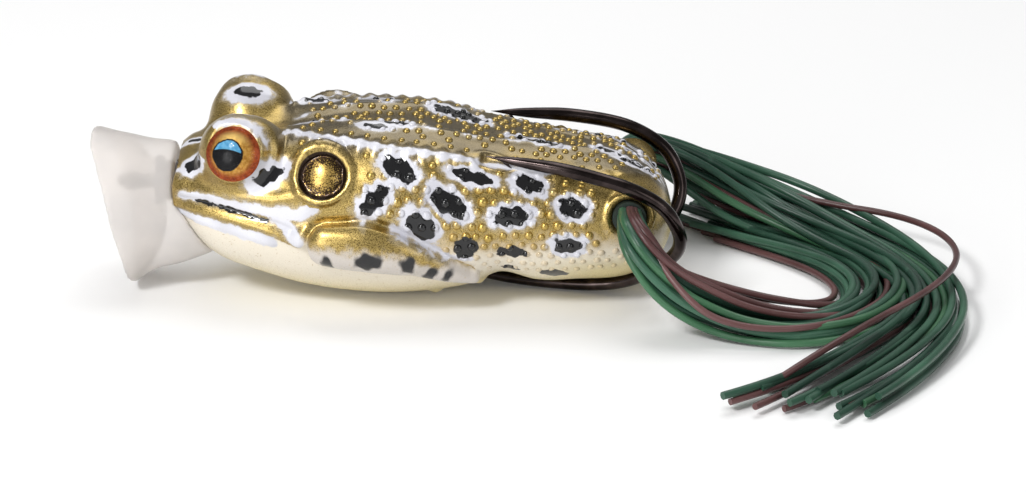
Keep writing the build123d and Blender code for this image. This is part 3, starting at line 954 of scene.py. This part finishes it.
def bodyMaterial():
    maker = MaterialMaker("frogPaint")
    edge, broad = maker.noise(850, 2.0), maker.noise(160, 2.0)
    flake, speck = maker.noise(9000, 1.0), maker.noise(2600, 2.0, 0.7)
    ear, wart, under = (maker.attribute(name) for name in ("earGap", "wart", "cream"))

    olive = maker.tint(flake, 0.40, 0.62, (0.120, 0.094, 0.052), (0.205, 0.168, 0.102))
    gold = maker.tint(flake, 0.36, 0.66, (0.245, 0.170, 0.046), (0.55, 0.400, 0.140))
    tone = maker.plus(maker.attribute("tone"), maker.ripple(broad, 0.25))
    metal = maker.tint(tone, 0.1, 0.9, olive, gold)
    metal = maker.mix(maker.span(wart, 0.25, 0.9, 0.0, 0.55), metal, (0.55, 0.38, 0.09))
    grit = maker.plus(maker.noise(5200, 2.0, 0.7), maker.span(ear, 0.6, 2.7, 0.10, -0.14))
    speckGold = maker.tint(grit, 0.40, 0.60, (0.030, 0.015, 0.008), (0.60, 0.40, 0.11))
    speckGold = maker.tint(ear, 2.55, 2.75, speckGold, (0.022, 0.011, 0.006))
    metal = maker.mix(maker.span(ear, 3.15, 3.35, 1.0, 0.0), metal, speckGold)

    cream = maker.mix(maker.attribute("tail"), (0.72, 0.66, 0.55), (0.66, 0.55, 0.26))
    cream = maker.mix(maker.span(under, 0.40, 0.98, 0.75, 0.0), cream, (0.47, 0.36, 0.20))
    armShare = maker.span(maker.attribute("arm"), 0.0, 1.0, 0.0, 0.85)
    cream = maker.mix(armShare, cream, (0.50, 0.46, 0.43))
    cream = maker.mix(maker.span(speck, 0.64, 0.70, 0.0, 0.6), cream, (0.42, 0.30, 0.14))
    creamPart = maker.plus(maker.plus(under, maker.ripple(edge, 0.16)), maker.ripple(broad, 0.10))
    creamPart = maker.span(creamPart, 0.12, 0.80)
    tan = maker.times(wart, maker.span(creamPart, 0.75, 1.0, 0.80, 0.38))
    cream = maker.mix(tan, cream, (0.36, 0.25, 0.10))

    whiteEdge = maker.plus(maker.attribute("whiteGap"), maker.ripple(edge, 0.20))
    whitePart = maker.span(whiteEdge, -0.18, 0.20, 1.0, 0.0)
    whiteTint = maker.tint(broad, 0.35, 0.7, (0.66, 0.66, 0.71), (0.50, 0.50, 0.55))
    halo = maker.span(whiteEdge, 0.05, 0.75, 0.32, 0.0)
    blackEdge = maker.plus(maker.attribute("spotGap"), maker.ripple(edge, 0.18))
    softEdge = maker.plus(maker.attribute("softGap"), maker.ripple(edge, 0.06))
    softPart = maker.span(softEdge, -0.22, 0.30, 1.0, 0.0)
    blackPart = maker.math("MAXIMUM", maker.span(blackEdge, -0.07, 0.09, 1.0, 0.0), softPart)

    colour = maker.mix(creamPart, maker.mix(halo, metal, (0.46, 0.43, 0.38)), cream)
    colour = maker.mix(whitePart, colour, whiteTint)
    colour = maker.mix(blackPart, colour, (0.007, 0.007, 0.008))
    bare = maker.times(maker.times(maker.rest(whitePart), maker.rest(blackPart)), maker.rest(creamPart))
    metallic = maker.times(bare, maker.span(halo, 0.0, 0.32, 0.88, 0.60))
    roughness = maker.blend(blackPart, maker.span(flake, 0.35, 0.65, 0.26, 0.42), 0.14)
    maker.set(Base_Color=colour, Metallic=metallic, Roughness=roughness, Coat_Roughness=0.07)
    maker.set(Coat_Weight=maker.blend(blackPart, 0.16, 0.60))
    maker.set(Specular_IOR_Level=maker.blend(blackPart, 0.5, 0.25))
    maker.bump(maker.plus(maker.times(edge, 0.7), maker.times(flake, 0.10)), 0.00010, 0.35)
    return maker.material


def thinCavity(piece, outer):
    # the inside needs far fewer faces than the skin
    makeActive(piece)
    mesh = piece.data
    bpy.ops.object.mode_set(mode="EDIT")
    bpy.ops.mesh.select_all(action="DESELECT")
    bpy.ops.object.mode_set(mode="OBJECT")
    mesh.vertices.foreach_set("select", ~outer)
    bpy.ops.object.mode_set(mode="EDIT")
    bpy.context.tool_settings.mesh_select_mode = (True, False, False)
    bpy.ops.mesh.decimate(ratio=bodyStyle["cavityShare"])
    bpy.ops.mesh.select_all(action="DESELECT")
    bpy.ops.object.mode_set(mode="OBJECT")


def makeBody():
    piece, outer = shapeBody()
    bodyRelief(piece, outer)
    thinCavity(piece, outer)
    bodyPaintFields(piece, np.zeros(len(piece.data.vertices)))
    piece.data.materials.append(bodyMaterial())
    piece.data.shade_smooth()
    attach(piece, "lure_body")
    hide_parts("body_shell")
    report(f"body with {sum(len(f.vertices) - 2 for f in piece.data.polygons)} triangles")
    makeWarts(piece)


makeBody()


# Popper cup

def cupMaterial():
    maker = MaterialMaker("milkyPlastic")
    cloud = maker.noise(120, 3.0)
    tint = maker.tint(cloud, 0.3, 0.7, (0.74, 0.71, 0.69), (0.83, 0.79, 0.76))
    maker.set(Base_Color=tint, Roughness=maker.span(cloud, 0.3, 0.7, 0.36, 0.44))
    maker.set(Transmission_Weight=0.50, IOR=1.08)
    maker.bump(maker.noise(700, 2.0), 0.00004, 0.3)
    return maker.material


cupStyle = {
    "voxel": 0.00035,
    "rounds": 12,        # of smoothing
    "droop": 0.0010,     # of the mouth, in metres
    "lean": 0.0006,
    "notch": 0.0014,     # how far the mouth's sides are pulled back
    "waistAt": -31.0,    # millimetres along the lure
    "waistHalf": 2.6,
    "pinch": 0.055,
    "middle": 0.0135,    # height of the cup's axis
}


def makeCup():
    piece = copyNode("popper_cup", "clear_popper_cup")
    applyModifier(piece, "REMESH", mode="VOXEL", voxel_size=cupStyle["voxel"])
    mesh = piece.data
    points = readPoints(mesh)
    points = smoothWhere(mesh, points, np.full(len(points), 0.8), cupStyle["rounds"])
    toMouth = fade(-points[:, 0] * 1000, 28.5, 37.5)
    points[:, 2] = np.maximum(points[:, 2] - cupStyle["droop"] * toMouth, 0.0001)
    high = fade(points[:, 2] * 1000, 9.0, 19.0)
    points[:, 0] += cupStyle["lean"] * toMouth * high
    sideways = fade(np.abs(points[:, 1]) * 1000, 2.0, 13.0) * fade(points[:, 2] * 1000, 0.0, 6.0)
    points[:, 0] += cupStyle["notch"] * toMouth * sideways
    along = (points[:, 0] * 1000 - cupStyle["waistAt"]) / cupStyle["waistHalf"]
    waist = np.exp(-along ** 2) * cupStyle["pinch"]
    points[:, 1] *= 1 - waist
    points[:, 2] += (cupStyle["middle"] - points[:, 2]) * waist
    writePoints(mesh, points)
    mesh.materials.append(cupMaterial())
    mesh.shade_smooth()
    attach(piece, "lure_body")
    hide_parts("popper_cup")


makeCup()
report("popper cup")


# Eyes

eyeStyle = {
    "radius": 3.6,
    "dome": 1.25,
    "depth": 1.6,
    "sunk": 0.05,       # the painted disc below its seat's edge
    "lensInset": 0.05,
    "lensRise": 0.12,
    "lensDepth": 0.05,
    "rings": 26,
    "spokes": 72,
}


def eyeMaterial():
    maker = MaterialMaker("eyePaint")
    rear, up, reach = (maker.attribute(name) for name in ("eyeRear", "eyeUp", "eyeReach"))
    across, above = maker.plus(rear, 0.13), maker.plus(up, 0.06)  # from the middle of the pupil
    bend = maker.times(across, across)
    pupil = maker.math("SQRT", maker.plus(bend, maker.times(above, above)))
    pupil = maker.plus(pupil, maker.ripple(maker.noise(900, 2.0), 0.02))
    pupilPart = maker.span(pupil, 0.565, 0.60, 1.0, 0.0)
    # the light blue crescent at the top of the pupil is a painted reflection, and lid is its lower edge
    lid = maker.plus(maker.plus(above, maker.times(bend, 0.30)), maker.times(across, 0.06))
    reflectionPart = maker.times(maker.span(pupil, 0.51, 0.54, 1.0, 0.0), maker.span(lid, 0.19, 0.22))
    streak = maker.noise(2400, 3.0)
    iris = maker.tint(streak, 0.35, 0.65, (0.42, 0.19, 0.03), (0.62, 0.35, 0.08))
    # the upper part of the iris is painted lighter: a painted highlight
    iris = maker.tint(up, 0.25, 0.75, iris, (0.74, 0.50, 0.16))
    rim = maker.tint(streak, 0.35, 0.65, (0.20, 0.035, 0.012), (0.36, 0.070, 0.018))
    # colour of the painted reflection in the pupil
    reflectionBlue = maker.tint(streak, 0.4, 0.6, (0.07, 0.27, 0.47), (0.13, 0.37, 0.58))
    colour = maker.tint(reach, 0.62, 0.90, iris, rim)
    colour = maker.mix(pupilPart, colour, (0.008, 0.008, 0.009))
    colour = maker.mix(reflectionPart, colour, reflectionBlue)
    maker.set(Base_Color=colour, Metallic=maker.times(maker.rest(pupilPart), 0.55))
    maker.set(Roughness=maker.span(streak, 0.3, 0.7, 0.28, 0.40), Specular_IOR_Level=0.05)
    maker.set(Coat_Weight=0.13, Coat_Roughness=0.03)
    return maker.material


def lensMaterial():
    maker = MaterialMaker("clearDome")
    haze = maker.noise(500, 2.0)
    maker.set(Base_Color=maker.tint(haze, 0.3, 0.7, (0.03, 0.03, 0.03), (0.05, 0.05, 0.05)))
    maker.set(Roughness=maker.span(haze, 0.3, 0.7, 0.02, 0.05), Alpha=0.06, IOR=1.45)
    return maker.material


def domeMesh(name, side, radius, dome, sink, lift):
    # a plug with a domed top, its axis along the eye's outward direction
    centre, outward, upward, rearward = eyeAxes(side)
    ball = (radius ** 2 + dome ** 2) / (2 * dome)
    mesh = bmesh.new()
    rows = []
    for ring in range(eyeStyle["rings"] + 1):
        reach = radius * math.sin(ring / eyeStyle["rings"] * math.pi / 2)
        height = math.sqrt(ball ** 2 - reach ** 2) - (ball - dome)
        rows.append((reach, height))
    rows += [(radius, -sink * 0.5), (radius, -sink)]
    loops = []
    for reach, height in rows:
        loop = []
        for spoke in range(eyeStyle["spokes"]):
            angle = math.tau * spoke / eyeStyle["spokes"]
            flat = rearward * (reach * math.cos(angle)) + upward * (reach * math.sin(angle))
            local = flat + outward * (height + lift)
            loop.append(mesh.verts.new(centre + local * 0.001))
            if reach == 0:
                break
        loops.append(loop)
    count = eyeStyle["spokes"]
    for first, second in zip(loops, loops[1:]):
        for k in range(count):
            a = first[k % len(first)]
            b = first[(k + 1) % count % len(first)]
            c, d = second[(k + 1) % count], second[k]
            mesh.faces.new([a, d, c] if a is b else [a, d, c, b])
    mesh.faces.new(loops[-1][::-1])
    bmesh.ops.recalc_face_normals(mesh, faces=mesh.faces)
    data = bpy.data.meshes.new(name)
    mesh.to_mesh(data)
    mesh.free()
    piece = addObject(name, data)
    _, up, rear = roundEye(readPoints(data) * 1000, side)
    storeValue(data, "eyeUp", up / radius)
    storeValue(data, "eyeRear", rear / radius)
    storeValue(data, "eyeReach", np.hypot(up, rear) / radius)
    data.shade_smooth()
    return piece


def makeEyes():
    eyePaint, clear = eyeMaterial(), lensMaterial()
    radius, dome = eyeStyle["radius"], eyeStyle["dome"]
    for side, word in ((-1, "left"), (1, "right")):
        disc = domeMesh(f"{word}_iris", side, radius, dome, eyeStyle["depth"], -eyeStyle["sunk"])
        disc.data.materials.append(eyePaint)
        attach(disc, "lure_body")
        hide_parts(f"{word}_eye_disc")
        lens = domeMesh(f"{word}_cornea", side, radius - eyeStyle["lensInset"], dome + eyeStyle["lensRise"],
                        eyeStyle["lensDepth"], 0.0)
        lens.data.materials.append(clear)
        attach(lens, "lure_body")
        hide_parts(f"{word}_eye_lens")


makeEyes()
report("eyes")


# Metal and hidden pieces

hiddenPieces = {
    "keel_weight": ("castLead", (0.16, 0.16, 0.17), (0.26, 0.26, 0.28), 0.5, 0.9),
    "nose_ferrule": ("greyBush", (0.20, 0.19, 0.20), (0.28, 0.27, 0.28), 0.35),
    "skirt_collar": ("blackBand", (0.012, 0.012, 0.012), (0.03, 0.03, 0.03), 0.6),
    # the skirt core is painted near-black: painted shade in the gap of each leg hole
    "skirt_core": ("coreInPaintedShade", (0.004, 0.008, 0.006), (0.010, 0.022, 0.015), 0.6),
}


def plainMaterial(name, dark, light, roughness, metallic=0.0, scale=600):
    maker = MaterialMaker(name)
    grain = maker.noise(scale, 4.0)
    maker.set(Base_Color=maker.tint(grain, 0.35, 0.65, dark, light), Metallic=metallic)
    maker.set(Roughness=maker.span(grain, 0.3, 0.7, roughness - 0.06, roughness + 0.08))
    maker.bump(grain, 0.00004, 0.4)
    return maker.material


for nodeName, look in hiddenPieces.items():
    data = nodes[nodeName].data
    data.materials.clear()
    data.materials.append(plainMaterial(*look))
report("hidden pieces dressed")


# Floor and light

stage = {
    "floorSize": 6.0,
    "floorTint": (0.93, 0.93, 0.93),
    "room": 0.29,
    "aim": (0.015, 0, 0.01),
}
# name, place, size, power
lamps = (
    ("keyLight", (-0.24, -0.38, 0.43), 0.14, 2.2),
    ("topLight", (0.05, 0.22, 0.55), 0.50, 1.7),
    ("frontLight", (-0.55, -0.85, 0.22), 0.50, 3.4),
    ("fillLight", (0.45, -0.45, 0.22), 0.35, 0.6),
)


def makeStage():
    deselectAll()
    bpy.ops.mesh.primitive_plane_add(size=stage["floorSize"], location=(0, 0, 0))
    floor = bpy.context.object
    floor.name = "floor"
    maker = MaterialMaker("paleFloor")
    maker.set(Base_Color=stage["floorTint"], Roughness=0.8)
    floor.data.materials.append(maker.material)
    world = bpy.data.worlds.new("softRoom")
    world.use_nodes = True
    light = world.node_tree.nodes["Background"]
    light.inputs["Color"].default_value = (1, 1, 1, 1)
    light.inputs["Strength"].default_value = stage["room"]
    bpy.context.scene.world = world
    bpy.context.scene.view_settings.view_transform = "Standard"
    for name, place, size, power in lamps:
        data = bpy.data.lights.new(name, "AREA")
        data.shape = "DISK"
        data.size = size
        data.energy = power
        lamp = addObject(name, data)
        lamp.location = place
        toAim = Vector(stage["aim"]) - Vector(place)
        lamp.rotation_euler = toAim.to_track_quat("-Z", "Y").to_euler()


makeStage()
report("floor and lights")
